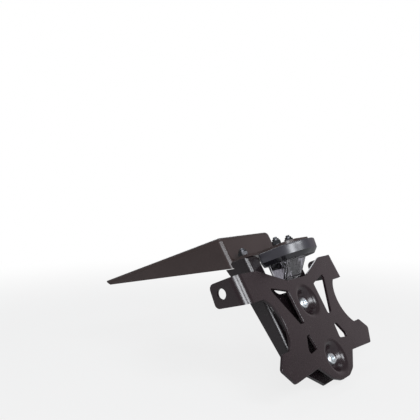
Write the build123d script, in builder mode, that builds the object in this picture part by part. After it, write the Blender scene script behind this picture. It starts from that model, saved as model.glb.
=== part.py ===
"""Tail tidy for a motorbike: a folded mount, a forked hanger, a number plate carrier and a plate lamp.

X is to the bike's right, Y is forward and Z is up, in millimetres. The origin is the centre of the four
mount holes, on the upper face of the mount, which slopes up to the rear under the bike's tail.
"""
import os
from math import atan2, cos, radians, sin, tan

from build123d import *

# Sheet metal shared by the three folded pieces
sheet = 2.5
bend_inside = 2.0
bend_outside = bend_inside + sheet
edge_round = 0.4
half_width = 39.5
seam_gap = 0.5

# Slopes, in degrees: the mount and the lamp shelf rise to the rear, the carrier leans back from upright
mount_slope = 18.6
shelf_slope = 21.0
carrier_lean = 30.0

# Mount: a top plate, two tapering wings and a rear wall
rear_reach = 72.0
tip_reach = 87.0
tip_depth = 5.6
tip_rake = 7.7
wall_height = 29.9
plate_front_reach = 66.0
mount_hole_side = 52.0
mount_hole_radius = 3.3
cable_slot_length = 40.0
cable_slot_width = 22.0

# Lamp shelf, folded back from the rear wall
shelf_drop = 24.4
shelf_half_width = 34.5
shelf_depth = 15.5
tongue_half_width = 18.0
tongue_depth = 50.0
tongue_corner = 10.0

# Number plate carrier, measured from its upper screw
carrier_standoff = 28.2
upper_screw_drop = 78.8
screw_spacing = 50.0
carrier_half_width = 80.0
arm_top = 35.2
arm_bottom = 11.4
arm_shoulder = 52.0
arm_inset = 59.0
valley_top = 21.3
valley_half_width = 16.0
waist_half_width = 47.4
waist_down = 11.5
lobe_inset = 57.5
lobe_top = 30.6
lobe_shoulder = 67.5
lobe_half_width = 77.2
lobe_middle = 40.5
lobe_bottom = 53.4
notch_half_width = 30.8
notch_bottom = 51.3
chin_half_width = 17.0
chin_shoulder = 64.0
chin_bottom_half_width = 7.0
chin_bottom = 67.7
arm_round = 12.0
lobe_round = 2.5
chin_round = 9.0
notch_round = 2.0
window_round = 1.6
upper_window = [(46.2, 19.1), (22.0, 12.7), (21.2, -15.8), (27.2, -15.4)]
lower_window = [(22.4, -25.0), (26.8, -26.0), (33.2, -36.2), (32.4, -39.6), (20.4, -37.8)]

# Indicator tab at each end of the carrier
tab_bend_inside = 5.0
tab_top_reach = 27.4
tab_bottom_reach = 30.1
tab_top_rise = 4.1
tab_bottom_rise = 8.6
tab_corner = 4.5
tab_hole_radius = 4.4
tab_hole_reach = 19.3
tab_hole_up = 28.2

# Pressed dishes that sink the carrier's screws
dish_radius = 12.5
dish_floor_radius = 7.4
dish_depth = 6.5
dish_round = 4.0
dish_land = 0.4
spacer_thickness = 2.5
spacer_radius = 8.0

# Hanger: a forked channel between the carrier and the mount, measured from the upper screw
flange_top_reach = 24.5
flange_shoulder_reach = 16.3
flange_shoulder_up = 15.3
flange_waist_reach = 11.8
flange_waist_down = 31.2
flange_foot_reach = 10.0
flange_foot_down = 50.0
web_bottom = 65.6
web_bottom_half_width = 16.0
web_corner_down = 48.0
fork_half_width = 23.5
fork_bottom = 14.0
fork_corner = 8.0
foot_screw_offset = 29.0
foot_screw_depth = 7.7

# Screws, nuts and washers
m6_radius = 3.0
m6_clearance = 0.3
m6_head_radius = 5.25
m6_head_height = 3.3
m6_socket_flats = 4.0
m6_socket_depth = 2.0
m6_nut_flats = 10.0
m6_nut_height = 6.0
m6_washer_radius = 6.0
m6_washer_thickness = 1.6
m5_radius = 2.5
m5_clearance = 0.25
m5_head_radius = 4.75
m5_head_height = 2.75
m5_socket_flats = 3.0
m5_socket_depth = 1.6
m5_nut_flats = 8.0
m5_nut_height = 5.0
m4_radius = 2.0
m4_clearance = 0.25
m4_head_radius = 3.6
m4_head_height = 1.8
m4_socket_flats = 2.5
m4_socket_depth = 1.1
m4_nut_flats = 7.0
m4_nut_height = 5.0
m4_washer_radius = 4.5
m4_washer_thickness = 0.8
head_dome = 0.75
thread_play = 0.1
nut_collar = 0.3
nut_collar_inset = 0.5
screw_end = 1.5

# Number plate lamp, hung under the tongue of the shelf; drops are from the top of its base
lamp_width = 44.0
lamp_length = 42.0
lamp_band = 8.5
lamp_front_gap = 15.4
lamp_rear_corner = 20.0
lamp_front_corner = 4.0
lamp_edge_round = 1.4
lamp_lip = 4.0
lip_width = 40.0
lip_front_inset = 0.5
lip_rear_inset = 4.5
lip_rear_corner = 16.0
lamp_roof = 2.5
lamp_ledge = 3.0
cavity_width = 40.6
cavity_length = 27.4
cavity_front = 19.5
cavity_corner = 5.0
lens_front = 18.0
lens_top_width = 37.0
lens_top_length = 24.0
lens_top_corner = 4.5
lens_bottom_width = 28.0
lens_bottom_length = 11.4
lens_bottom_corner = 3.0
lens_bottom_drop = 28.4
lens_edge_round = 1.2
lens_wall = 1.8
lens_flange_thickness = 1.5
lens_play = 0.2
gasket_thickness = 0.8
reflector_wall = 1.0
lamp_screw_offset = 10.5
lamp_screw_forward = 5.0
bulb_forward = 9.0
bulb_holder_radius = 6.5
bulb_holder_height = 2.5
bulb_radius = 4.4
bulb_length = 9.0
bulb_tip = 0.6
grommet_radius = 2.4
grommet_play = 0.1
grommet_bore = 1.4
grommet_lip = 0.9
grommet_lip_thickness = 1.2

# Planes that the pieces are drawn on, each with its x axis to the bike's right
right = Vector(1, 0, 0)
rearward = Vector(0, -cos(radians(carrier_lean)), sin(radians(carrier_lean)))
mount_up = Vector(0, sin(radians(mount_slope)), cos(radians(mount_slope)))
shelf_up = Vector(0, sin(radians(shelf_slope)), cos(radians(shelf_slope)))
top_plane = Plane((0, 0, 0), x_dir=right, z_dir=mount_up)
wall_plane = Plane(top_plane.from_local_coords((0, -rear_reach, 0)), x_dir=right, z_dir=rearward)
shelf_plane = Plane(wall_plane.from_local_coords((0, -shelf_drop, 0)), x_dir=right, z_dir=shelf_up)
carrier_centre = wall_plane.from_local_coords((0, -upper_screw_drop, carrier_standoff))
carrier_plane = Plane(carrier_centre, x_dir=right, z_dir=rearward)
carrier_side_plane = Plane(carrier_centre, x_dir=-rearward, z_dir=right)
hanger_gap = dish_depth + sheet + spacer_thickness
hanger_plane = carrier_plane.offset(-hanger_gap)
lamp_centre = shelf_plane.from_local_coords((0, -lamp_front_gap - lamp_length / 2, 0))
lamp_plane = Plane(lamp_centre, x_dir=right, z_dir=shelf_up)
screw_places = [(0, 0), (0, -screw_spacing)]
foot_places = [(-foot_screw_offset, -foot_screw_depth), (foot_screw_offset, -foot_screw_depth)]
lamp_screw_places = [(-lamp_screw_offset, lamp_screw_forward), (lamp_screw_offset, lamp_screw_forward)]
bulb_places = [(0, bulb_forward)]
beyond = 60.0


def side_point(plane, along, out):
    """The side view's (Y, Z) of a place on a plane, along its own y axis and out along its normal."""
    place = plane.from_local_coords((0, along, out))
    return (place.Y, place.Z)


def moved_corner(place, first, first_move, second, second_move):
    """The (Y, Z) where the two faces of a corner meet, once each is moved along its normal."""
    skew = first.dot(second)
    along_first = (first_move - skew * second_move) / (1 - skew * skew)
    along_second = (second_move - skew * first_move) / (1 - skew * skew)
    shift = first * along_first + second * along_second
    return (place[0] + shift.Y, place[1] + shift.Z)


def stepped(place, direction, distance):
    """A side view point moved along a direction."""
    return (place[0] + direction.Y * distance, place[1] + direction.Z * distance)


def outer_face(solid, direction):
    """The flat face of a solid that lies farthest along its own outward direction."""
    axis = Axis((0, 0, 0), tuple(direction))
    return solid.faces().filter_by(axis).sort_by(axis)[-1]


def fold_edges(solid, rear, top, fold_top_sides):
    """The edges where a block's rear face turns into its top and sides, and its top into its sides."""
    rear_face = outer_face(solid, rear)
    top_face = outer_face(solid, top)
    folds = rear_face.edges().filter_by(Axis.X, reverse=True)
    folds += rear_face.edges().filter_by(Axis.X).sort_by(Axis.Z)[-1:]
    if fold_top_sides:
        folds += top_face.edges().filter_by(Axis.X, reverse=True)
    return folds


def both_sides(places):
    """Some places and their mirror images to the other side of the bike."""
    return places + [(-x, y) for x, y in places]


def vertices_near(sketch, places):
    """The sketch's vertices nearest to some places."""
    found = ShapeList()
    for x, y in places:
        found.append(min(sketch.vertices(), key=lambda v: (v.X - x) ** 2 + (v.Y - y) ** 2))
    return found


def side_face(outline):
    """The face inside a closed outline in the side view."""
    with BuildSketch(Plane.YZ) as sketch:
        with BuildLine():
            Polyline(*outline, close=True)
        make_face()
    return sketch.sketch


def strip_face(plane, midline, inside):
    """The section of a bent strip of sheet on a plane, given by its midline and the inside of its bend."""
    with BuildSketch(plane) as sketch:
        with BuildLine():
            FilletPolyline(*midline, radius=inside + sheet / 2)
        trace(line_width=sheet)
    return sketch.sketch


def discs(plane, places, radius):
    """A disc at each place on a plane."""
    with BuildSketch(plane) as sketch:
        with Locations(*places):
            Circle(radius)
    return sketch.sketch


def rings(plane, places, outer, inner):
    """A flat ring at each place on a plane."""
    with BuildSketch(plane) as sketch:
        with Locations(*places):
            Circle(outer)
            Circle(inner, mode=Mode.SUBTRACT)
    return sketch.sketch


def hexagons(plane, places, flats):
    """A hexagon at each place on a plane, given across its flats."""
    with BuildSketch(plane) as sketch:
        with Locations(*places):
            RegularPolygon(flats / 2, 6, major_radius=False)
    return sketch.sketch


def lamp_box(drop, front, width, length, corner):
    """A rectangle with rounded corners, level with the lamp's top and below it, given by its front side."""
    centre = lamp_plane.from_local_coords((0, front - length / 2, -drop))
    with BuildSketch(Plane(centre, x_dir=right, z_dir=shelf_up)) as sketch:
        RectangleRounded(width, length, corner)
    return sketch.sketch


def lamp_outline(drop, front, rear, width, rear_corner):
    """The lamp's outline, round at the rear, at a drop below its top."""
    with BuildSketch(lamp_plane.offset(-drop)) as sketch:
        with Locations((0, front)):
            Rectangle(width, front - rear, align=(Align.CENTER, Align.MAX))
        fillet(sketch.vertices().group_by(Axis.Y)[0], rear_corner)
        fillet(sketch.vertices().group_by(Axis.Y)[-1], lamp_front_corner)
    return sketch.sketch


def end_rims(solid, direction):
    """The circles at the end of a solid that lies farthest along a direction."""
    axis = Axis((0, 0, 0), tuple(direction))
    return solid.edges().filter_by(GeomType.CIRCLE).group_by(axis)[-1]


def add_heads(solid, plane, places, radius, height, up):
    """Add domed screw heads that stand on a plane, above it or below it."""
    extrude(discs(plane, places, radius), amount=up * height)
    fillet(end_rims(solid, plane.z_dir * up), head_dome * height)


def add_nuts(plane, places, bore, flats, height, up):
    """Add lock nuts that stand on a plane, above it or below it."""
    extrude(hexagons(plane, places, flats), amount=up * height * (1 - nut_collar))
    extrude(discs(plane, places, flats / 2 - nut_collar_inset), amount=up * height)
    extrude(discs(plane, places, bore), amount=up * height, mode=Mode.SUBTRACT)


# Mount bracket: a wedge with rounded folds, hollow and open below and in front
top_rear = side_point(top_plane, -rear_reach, 0)
top_inside = moved_corner(top_rear, mount_up, -sheet, rearward, -sheet)
tip_top = side_point(top_plane, tip_reach, 0)
tip_bottom = side_point(top_plane, tip_reach - tip_rake, -tip_depth)
tip_beyond = stepped(top_inside, top_plane.y_dir, rear_reach + tip_reach + beyond)
mount_outline = [top_rear, tip_top, tip_bottom, side_point(wall_plane, -wall_height, 0)]
mount_hollow = [
    top_inside,
    tip_beyond,
    stepped(tip_beyond, mount_up, -beyond),
    stepped(top_inside, wall_plane.y_dir, -beyond),
]
shelf_corner = side_point(shelf_plane, 0, 0)
shelf_midline = [
    side_point(wall_plane, -shelf_drop + 2 * bend_outside, -sheet / 2),
    moved_corner(shelf_corner, rearward, -sheet / 2, shelf_up, sheet / 2),
    side_point(shelf_plane, -shelf_depth, sheet / 2),
]

with BuildPart() as mount_space:
    extrude(side_face(mount_hollow), amount=half_width - sheet, both=True)
    fillet(fold_edges(mount_space, rearward, mount_up, True), bend_inside)

with BuildPart() as mount:
    extrude(side_face(mount_outline), amount=half_width, both=True)
    fillet(fold_edges(mount, rearward, mount_up, True), bend_outside)
    add(mount_space.part, mode=Mode.SUBTRACT)
    # the top plate stops short of the wing tips
    with BuildSketch(top_plane.offset(sheet)) as plate_front:
        with Locations((0, plate_front_reach)):
            Rectangle(2 * (half_width - bend_outside), beyond, align=(Align.CENTER, Align.MIN))
        fillet(plate_front.vertices().group_by(Axis.Y)[0], bend_outside)
    extrude(amount=-3 * sheet, mode=Mode.SUBTRACT)
    # four mount holes round a slot for the wiring
    with BuildSketch(top_plane):
        with GridLocations(mount_hole_side, mount_hole_side, 2, 2):
            Circle(mount_hole_radius)
        SlotOverall(cable_slot_length, cable_slot_width, rotation=90)
    extrude(amount=-2 * sheet, mode=Mode.SUBTRACT)
    # the middle of the rear wall gives way to the shelf's fold
    with BuildSketch(wall_plane.offset(sheet)):
        with Locations((0, -shelf_drop + bend_outside)):
            Rectangle(2 * (shelf_half_width + seam_gap), beyond, align=(Align.CENTER, Align.MAX))
    extrude(amount=-3 * sheet, mode=Mode.SUBTRACT)
    extrude(strip_face(Plane.YZ, shelf_midline, bend_inside), amount=shelf_half_width, both=True)
    # the tongue over the lamp
    with BuildSketch(shelf_plane) as tongue:
        with Locations((0, -shelf_depth + sheet)):
            tongue_length = tongue_depth - shelf_depth + sheet
            Rectangle(2 * tongue_half_width, tongue_length, align=(Align.CENTER, Align.MAX))
        fillet(tongue.vertices().group_by(Axis.Y)[0], tongue_corner)
    extrude(amount=sheet)
    with BuildSketch(shelf_plane):
        with Locations(*foot_places):
            Circle(m5_radius + m5_clearance)
    extrude(amount=sheet, mode=Mode.SUBTRACT)
    with BuildSketch(lamp_plane):
        with Locations(*lamp_screw_places):
            Circle(m4_radius + m4_clearance)
    extrude(amount=sheet, mode=Mode.SUBTRACT)
mount.part.label = "mount_bracket"

# Hanger: a channel whose top folds forward into two feet, forked to clear the lamp
wall_gap = carrier_standoff - hanger_gap
foot_rise = tan(radians(carrier_lean - shelf_slope))
hanger_top = upper_screw_drop - shelf_drop - wall_gap * foot_rise
foot_reach = wall_gap - seam_gap
wing_base = upper_screw_drop - wall_height
tip_local = wall_plane.to_local_coords(Vector(0, *tip_bottom))
wing_rise = (tip_local.Y + wall_height) / -tip_local.Z
flange_top = wing_base + (flange_top_reach - wall_gap) * wing_rise - seam_gap
hanger_corner = side_point(hanger_plane, hanger_top, 0)
hanger_inside = moved_corner(hanger_corner, rearward, -sheet, shelf_up, -sheet)
hanger_outline = [
    hanger_corner,
    side_point(hanger_plane, hanger_top + foot_reach * foot_rise, -foot_reach),
    side_point(hanger_plane, wing_base - seam_gap, -foot_reach),
    side_point(hanger_plane, flange_top, -flange_top_reach),
    side_point(hanger_plane, flange_shoulder_up, -flange_shoulder_reach),
    side_point(hanger_plane, -flange_waist_down, -flange_waist_reach),
    side_point(hanger_plane, -flange_foot_down, -flange_foot_reach),
    side_point(hanger_plane, -web_bottom, -sheet),
    side_point(hanger_plane, -web_bottom, 0),
]
hanger_low = stepped(hanger_inside, hanger_plane.y_dir, -hanger_top - web_bottom - beyond)
hanger_hollow = [
    hanger_inside,
    stepped(hanger_inside, shelf_plane.y_dir, beyond),
    stepped(hanger_low, rearward, -beyond),
    hanger_low,
]

with BuildPart() as hanger_space:
    extrude(side_face(hanger_hollow), amount=half_width - sheet, both=True)
    fillet(fold_edges(hanger_space, rearward, shelf_up, False), bend_inside)

with BuildPart() as hanger:
    extrude(side_face(hanger_outline), amount=half_width, both=True)
    fillet(fold_edges(hanger, rearward, shelf_up, False), bend_outside)
    add(hanger_space.part, mode=Mode.SUBTRACT)
    # the fork, the cropped lower corners and the screw holes
    with BuildSketch(hanger_plane.offset(sheet)) as web_cuts:
        with Locations((0, fork_bottom)):
            Rectangle(2 * fork_half_width, beyond, align=(Align.CENTER, Align.MIN))
        fillet(web_cuts.vertices().group_by(Axis.Y)[0], fork_corner)
        for sign in (-1, 1):
            with BuildLine():
                Polyline(
                    (sign * web_bottom_half_width, -web_bottom),
                    (sign * half_width, -web_corner_down),
                    (sign * (half_width + sheet), -web_corner_down),
                    (sign * (half_width + sheet), -web_bottom - sheet),
                    (sign * web_bottom_half_width, -web_bottom - sheet),
                    close=True,
                )
            make_face()
        with Locations(*screw_places):
            Circle(m6_radius + m6_clearance)
    extrude(amount=-beyond, mode=Mode.SUBTRACT)
    with BuildSketch(shelf_plane):
        with Locations(*foot_places):
            Circle(m5_radius + m5_clearance)
    extrude(amount=-2 * sheet, mode=Mode.SUBTRACT)
hanger.part.label = "hanger"

# Number plate carrier: a flat plate with windows, two folded tabs and two pressed dishes
fold_line = carrier_half_width - tab_bend_inside - sheet
outline_corners = [
    (0, valley_top),
    (valley_half_width, valley_top),
    (arm_shoulder, arm_top),
    (fold_line, arm_top),
    (fold_line, arm_bottom),
    (arm_inset, arm_bottom),
]
lobe_corners = [
    (lobe_inset, -lobe_top),
    (lobe_shoulder, -lobe_top),
    (lobe_half_width, -lobe_middle),
    (lobe_shoulder, -lobe_bottom),
    (notch_half_width, -notch_bottom),
    (chin_half_width, -chin_shoulder),
    (chin_bottom_half_width, -chin_bottom),
    (0, -chin_bottom),
]
arm_curves = outline_corners[1:3]
chin_curves = lobe_corners[5:7]
inner_corners = [outline_corners[-1], lobe_corners[0], lobe_corners[4]]
dish_slope = atan2(dish_depth, dish_radius - dish_floor_radius)
dish_shift = sheet * tan(dish_slope / 2)
dish_rim = dish_radius + (dish_round + sheet) * tan(dish_slope / 2) + dish_land
dish_profile = [
    (dish_rim, 0),
    (dish_radius, 0),
    (dish_floor_radius, dish_depth),
    (m6_radius + m6_clearance, dish_depth),
    (m6_radius + m6_clearance, dish_depth + sheet),
    (dish_floor_radius + dish_shift, dish_depth + sheet),
    (dish_radius + dish_shift, sheet),
    (dish_rim, sheet),
]
tab_outline = [
    (-sheet, arm_bottom),
    (0, arm_bottom),
    (tab_bottom_reach, arm_bottom + tab_bottom_rise),
    (tab_top_reach, arm_top + tab_top_rise),
    (0, arm_top),
    (-sheet, arm_top),
]
tab_midline = [
    (fold_line - sheet, sheet / 2),
    (carrier_half_width - sheet / 2, sheet / 2),
    (carrier_half_width - sheet / 2, tab_bottom_reach + sheet),
]
strip_origin = carrier_plane.from_local_coords((0, arm_bottom, 0))
strip_plane = Plane(strip_origin, x_dir=right, z_dir=carrier_plane.y_dir)

with BuildPart() as tabs:
    tab_strip = strip_face(strip_plane, tab_midline, tab_bend_inside)
    extrude(tab_strip, amount=arm_top + tab_top_rise - arm_bottom)
    mirror(about=Plane.YZ)
    with BuildSketch(carrier_side_plane) as tab_side:
        with BuildLine():
            Polyline(*tab_outline, close=True)
        make_face()
        fillet(tab_side.vertices().sort_by(Axis.X)[-2:], tab_corner)
        with Locations((tab_hole_reach, tab_hole_up)):
            Circle(tab_hole_radius, mode=Mode.SUBTRACT)
    extrude(amount=carrier_half_width + sheet, both=True, mode=Mode.INTERSECT)

with BuildPart() as carrier:
    with BuildSketch(carrier_plane) as plate:
        with BuildLine():
            Polyline(*outline_corners)
            ThreePointArc(outline_corners[-1], (waist_half_width, -waist_down), lobe_corners[0])
            Polyline(*lobe_corners)
            mirror(about=Plane.YZ)
        make_face()
        fillet(vertices_near(plate, both_sides(arm_curves)), arm_round)
        fillet(vertices_near(plate, both_sides(lobe_corners[1:4])), lobe_round)
        fillet(vertices_near(plate, both_sides(chin_curves)), chin_round)
        fillet(vertices_near(plate, both_sides(inner_corners)), notch_round)
    extrude(amount=-sheet)
    with BuildSketch(carrier_plane) as windows:
        for corners in (upper_window, lower_window):
            with BuildLine():
                Polyline(*corners, close=True)
            make_face()
        fillet(windows.vertices(), window_round)
        mirror(about=Plane.YZ)
    extrude(amount=-sheet, mode=Mode.SUBTRACT)
    rims = outer_face(carrier, rearward).edges() + outer_face(carrier, -rearward).edges()
    fillet(rims.filter_by(lambda edge: abs(abs(edge.center().X) - fold_line) > edge_round), edge_round)
    with BuildSketch(carrier_plane):
        with Locations(*screw_places):
            Circle(dish_rim)
    extrude(amount=-sheet, mode=Mode.SUBTRACT)
    add(tabs.part)
    for x, y in screw_places:
        dish_centre = carrier_plane.from_local_coords((x, y, 0))
        with BuildSketch(Plane(dish_centre, x_dir=right, z_dir=carrier_plane.y_dir)) as dish:
            with BuildLine():
                Polyline(*dish_profile, close=True)
            make_face()
            fillet(vertices_near(dish, [dish_profile[2], dish_profile[6]]), dish_round)
            fillet(vertices_near(dish, [dish_profile[1], dish_profile[5]]), dish_round + sheet)
        revolve(axis=Axis(dish_centre, rearward))
carrier.part.label = "plate_carrier"

# Screws through the carrier's dishes, with rubber spacers behind the dishes and lock nuts on the hanger
dish_floor = carrier_plane.offset(-dish_depth)
web_front = hanger_plane.offset(-sheet)
m6_reach = 2 * sheet + spacer_thickness + m6_washer_thickness + m6_nut_height + screw_end

with BuildPart() as carrier_screws:
    add_heads(carrier_screws, dish_floor, screw_places, m6_head_radius, m6_head_height, 1)
    sockets = hexagons(dish_floor.offset(m6_head_height), screw_places, m6_socket_flats)
    extrude(sockets, amount=-m6_socket_depth, mode=Mode.SUBTRACT)
    extrude(discs(dish_floor, screw_places, m6_radius), amount=-m6_reach)
carrier_screws.part.label = "carrier_screws"

with BuildPart() as carrier_spacers:
    spacers = rings(hanger_plane, screw_places, spacer_radius, m6_radius + m6_clearance)
    extrude(spacers, amount=spacer_thickness)
carrier_spacers.part.label = "carrier_spacers"

with BuildPart() as carrier_washers:
    washers = rings(web_front, screw_places, m6_washer_radius, m6_radius + m6_clearance)
    extrude(washers, amount=-m6_washer_thickness)
carrier_washers.part.label = "carrier_washers"

with BuildPart() as carrier_nuts:
    nut_seat = web_front.offset(-m6_washer_thickness)
    add_nuts(nut_seat, screw_places, m6_radius + thread_play, m6_nut_flats, m6_nut_height, -1)
carrier_nuts.part.label = "carrier_nuts"

# Screws up through the hanger's feet, with lock nuts on the shelf
foot_under = shelf_plane.offset(-sheet)
shelf_top = shelf_plane.offset(sheet)
m5_reach = 2 * sheet + m5_nut_height + screw_end

with BuildPart() as hanger_screws:
    add_heads(hanger_screws, foot_under, foot_places, m5_head_radius, m5_head_height, -1)
    sockets = hexagons(foot_under.offset(-m5_head_height), foot_places, m5_socket_flats)
    extrude(sockets, amount=m5_socket_depth, mode=Mode.SUBTRACT)
    extrude(discs(foot_under, foot_places, m5_radius), amount=m5_reach)
hanger_screws.part.label = "hanger_screws"

with BuildPart() as hanger_nuts:
    add_nuts(shelf_top, foot_places, m5_radius + thread_play, m5_nut_flats, m5_nut_height, 1)
hanger_nuts.part.label = "hanger_nuts"

# Lamp: a base under the tongue, with a lens that hangs through the opening in its ledge
lamp_height = lamp_band + lamp_lip
ledge_drop = lamp_height - lamp_ledge
lens_flange_bottom = ledge_drop - gasket_thickness
lens_flange_top = lens_flange_bottom - lens_flange_thickness
reflector_drop = lamp_roof + m4_head_height + lens_play
holder_drop = reflector_drop + reflector_wall
bulb_drop = holder_drop + bulb_holder_height
lamp_front = lamp_length / 2
opening_width = lens_top_width + 2 * lens_play
opening_length = lens_top_length + 2 * lens_play
opening_front = lens_front + lens_play
fitted_width = cavity_width - 2 * lens_play
fitted_length = cavity_length - 2 * lens_play
fitted_front = cavity_front - lens_play
roof_under = lamp_plane.offset(-lamp_roof)
front_wall = lamp_front - cavity_front
grommet_centre = lamp_plane.from_local_coords((0, lamp_front, -(lamp_roof + lens_flange_top) / 2))
grommet_plane = Plane(grommet_centre, x_dir=right, z_dir=lamp_plane.y_dir)
m4_reach = lamp_roof + sheet + m4_washer_thickness + m4_nut_height + screw_end

with BuildPart() as lamp_base:
    band_top = lamp_outline(0, lamp_front, -lamp_front, lamp_width, lamp_rear_corner)
    extrude(band_top, amount=-lamp_band)
    fillet(outer_face(lamp_base, shelf_up).edges(), lamp_edge_round)
    lip_front = lamp_front - lip_front_inset
    lip_rear = lip_rear_inset - lamp_front
    band_bottom = lamp_outline(lamp_band, lamp_front, -lamp_front, lamp_width, lamp_rear_corner)
    loft([band_bottom, lamp_outline(lamp_height, lip_front, lip_rear, lip_width, lip_rear_corner)])
    cavity = lamp_box(ledge_drop, cavity_front, cavity_width, cavity_length, cavity_corner)
    extrude(cavity, amount=ledge_drop - lamp_roof, mode=Mode.SUBTRACT)
    opening = lamp_box(lamp_height, opening_front, opening_width, opening_length, lens_top_corner)
    extrude(opening, amount=lamp_ledge, mode=Mode.SUBTRACT)
    roof_holes = discs(roof_under, lamp_screw_places, m4_radius + m4_clearance)
    extrude(roof_holes, amount=lamp_roof, mode=Mode.SUBTRACT)
    grommet_hole = discs(grommet_plane, [(0, 0)], grommet_radius + grommet_play)
    extrude(grommet_hole, amount=-front_wall, mode=Mode.SUBTRACT)
lamp_base.part.label = "lamp_base"

with BuildPart() as lamp_screws:
    add_heads(lamp_screws, roof_under, lamp_screw_places, m4_head_radius, m4_head_height, -1)
    sockets = hexagons(roof_under.offset(-m4_head_height), lamp_screw_places, m4_socket_flats)
    extrude(sockets, amount=m4_socket_depth, mode=Mode.SUBTRACT)
    extrude(discs(roof_under, lamp_screw_places, m4_radius), amount=m4_reach)
lamp_screws.part.label = "lamp_screws"

with BuildPart() as lamp_washers:
    washer_seat = lamp_plane.offset(sheet)
    washers = rings(washer_seat, lamp_screw_places, m4_washer_radius, m4_radius + m4_clearance)
    extrude(washers, amount=m4_washer_thickness)
lamp_washers.part.label = "lamp_washers"

with BuildPart() as lamp_nuts:
    nut_seat = lamp_plane.offset(sheet + m4_washer_thickness)
    add_nuts(nut_seat, lamp_screw_places, m4_radius + thread_play, m4_nut_flats, m4_nut_height, 1)
lamp_nuts.part.label = "lamp_nuts"

with BuildPart() as lamp_gasket:
    gasket = lamp_box(ledge_drop, fitted_front, fitted_width, fitted_length, cavity_corner)
    extrude(gasket, amount=gasket_thickness)
    gasket_hole = lamp_box(ledge_drop, opening_front, opening_width, opening_length, lens_top_corner)
    extrude(gasket_hole, amount=gasket_thickness, mode=Mode.SUBTRACT)
lamp_gasket.part.label = "lamp_gasket"

with BuildPart() as lamp_reflector:
    pan = lamp_box(reflector_drop, fitted_front, fitted_width, fitted_length, cavity_corner)
    extrude(pan, amount=reflector_drop - lens_flange_top)
    pan_inside = lamp_box(
        holder_drop,
        fitted_front - reflector_wall,
        fitted_width - 2 * reflector_wall,
        fitted_length - 2 * reflector_wall,
        cavity_corner - reflector_wall,
    )
    extrude(pan_inside, amount=holder_drop - lens_flange_top, mode=Mode.SUBTRACT)
lamp_reflector.part.label = "lamp_reflector"

with BuildPart() as lamp_bulb_holder:
    holder_disc = discs(lamp_plane.offset(-holder_drop), bulb_places, bulb_holder_radius)
    extrude(holder_disc, amount=-bulb_holder_height)
lamp_bulb_holder.part.label = "lamp_bulb_holder"

with BuildPart() as lamp_bulb:
    extrude(discs(lamp_plane.offset(-bulb_drop), bulb_places, bulb_radius), amount=-bulb_length)
    fillet(end_rims(lamp_bulb, -shelf_up), bulb_radius - bulb_tip)
lamp_bulb.part.label = "lamp_bulb"

with BuildPart() as lamp_lens:
    flange = lamp_box(lens_flange_bottom, fitted_front, fitted_width, fitted_length, cavity_corner)
    extrude(flange, amount=lens_flange_thickness)
    body_top = lamp_box(lens_flange_bottom, lens_front, lens_top_width, lens_top_length, lens_top_corner)
    body_bottom = lamp_box(
        lens_bottom_drop, lens_front, lens_bottom_width, lens_bottom_length, lens_bottom_corner
    )
    loft([body_top, body_bottom])
    fillet(outer_face(lamp_lens, -shelf_up).edges(), lens_edge_round)
    inside_top = lamp_box(
        lens_flange_bottom,
        lens_front - lens_wall,
        lens_top_width - 2 * lens_wall,
        lens_top_length - 2 * lens_wall,
        lens_top_corner - lens_wall,
    )
    inside_bottom = lamp_box(
        lens_bottom_drop - lens_wall,
        lens_front - lens_wall,
        lens_bottom_width - 2 * lens_wall,
        lens_bottom_length - 2 * lens_wall,
        lens_bottom_corner - lens_wall,
    )
    loft([inside_top, inside_bottom], mode=Mode.SUBTRACT)
    extrude(inside_top, amount=lens_flange_thickness, mode=Mode.SUBTRACT)
lamp_lens.part.label = "lamp_lens"

with BuildPart() as lamp_grommet:
    extrude(discs(grommet_plane, [(0, 0)], grommet_radius), amount=-front_wall)
    extrude(discs(grommet_plane, [(0, 0)], grommet_radius + grommet_lip), amount=grommet_lip_thickness)
    extrude(discs(grommet_plane, [(0, 0)], grommet_bore), amount=grommet_lip_thickness, mode=Mode.SUBTRACT)
    extrude(discs(grommet_plane, [(0, 0)], grommet_bore), amount=-front_wall, mode=Mode.SUBTRACT)
lamp_grommet.part.label = "lamp_grommet"

os.makedirs("parts", exist_ok=True)
export_step(mount.part, "parts/mount_bracket.step")
export_step(hanger.part, "parts/hanger.step")
export_step(carrier.part, "parts/plate_carrier.step")
export_step(carrier_screws.part, "parts/carrier_screws.step")
export_step(carrier_spacers.part, "parts/carrier_spacers.step")
export_step(carrier_washers.part, "parts/carrier_washers.step")
export_step(carrier_nuts.part, "parts/carrier_nuts.step")
export_step(hanger_screws.part, "parts/hanger_screws.step")
export_step(hanger_nuts.part, "parts/hanger_nuts.step")
export_step(lamp_base.part, "parts/lamp_base.step")
export_step(lamp_screws.part, "parts/lamp_screws.step")
export_step(lamp_washers.part, "parts/lamp_washers.step")
export_step(lamp_nuts.part, "parts/lamp_nuts.step")
export_step(lamp_gasket.part, "parts/lamp_gasket.step")
export_step(lamp_reflector.part, "parts/lamp_reflector.step")
export_step(lamp_bulb_holder.part, "parts/lamp_bulb_holder.step")
export_step(lamp_bulb.part, "parts/lamp_bulb.step")
export_step(lamp_lens.part, "parts/lamp_lens.step")
export_step(lamp_grommet.part, "parts/lamp_grommet.step")
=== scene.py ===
"""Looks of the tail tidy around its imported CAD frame: coated sheet, bright screws and a clear lamp.

The carrier's sheet stays as the CAD has it, and the mount's and the hanger's get softened edges. The
screws, nuts, rings, bulb and grommet are made by Geometry Nodes, and the lamp's housing and lens are
skins over plans. Lengths are millimetres in the shapes, and metres in the finishes, stage and lights.
"""

import math

import bmesh
import bpy
from mathutils import Matrix, Vector


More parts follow.
